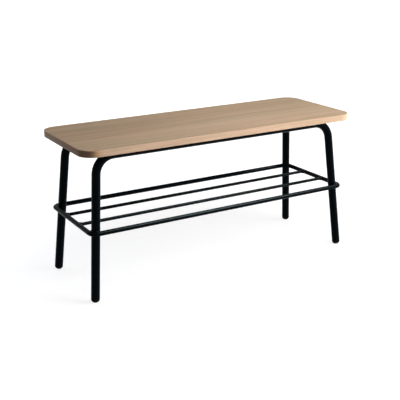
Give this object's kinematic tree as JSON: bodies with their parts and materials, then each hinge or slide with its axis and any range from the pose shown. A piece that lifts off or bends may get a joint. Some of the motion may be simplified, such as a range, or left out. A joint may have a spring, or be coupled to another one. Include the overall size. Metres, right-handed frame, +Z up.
{
  "type": "entryway bench",
  "caption": "Entryway bench: round-cornered veneered seat board on two splayed bent tube frames, with a welded rod shoe rack between the legs.",
  "frame": {"origin": "on the floor, under the middle of the seat", "axes": "+X along the seat to the right of someone facing its front, +Y from front to back across the seat, +Z up"},
  "size_m": [0.93, 0.335, 0.45],
  "materials": {
    "seat_veneer": "matt lacquered straight-grained oak veneer",
    "edge_band": "matt lacquered oak edge band",
    "board_core": "raw board core",
    "coated_steel": "satin black powder coat",
    "glide_plastic": "moulded black polyethylene",
    "zinc_steel": "bright zinc plated"
  },
  "bodies": {
    "root": {"seat_core": "board_core", "seat_top_veneer": "seat_veneer", "seat_bottom_veneer": "seat_veneer", "seat_edge_band": "edge_band", "front_frame_tube": "coated_steel", "rear_frame_tube": "coated_steel", "left_cross_strap": "coated_steel", "centre_cross_strap": "coated_steel", "right_cross_strap": "coated_steel", "rack_ring": "coated_steel", "rack_bar_front": "coated_steel", "rack_bar_rear": "coated_steel", "ring_leg_welds": "coated_steel", "rack_bar_welds": "coated_steel", "strap_welds": "coated_steel", "front_left_foot_glide": "glide_plastic", "front_right_foot_glide": "glide_plastic", "rear_left_foot_glide": "glide_plastic", "rear_right_foot_glide": "glide_plastic", "seat_screws": "zinc_steel", "seat_washers": "zinc_steel", "threaded_inserts": "zinc_steel"}
  },
  "joints": []
}
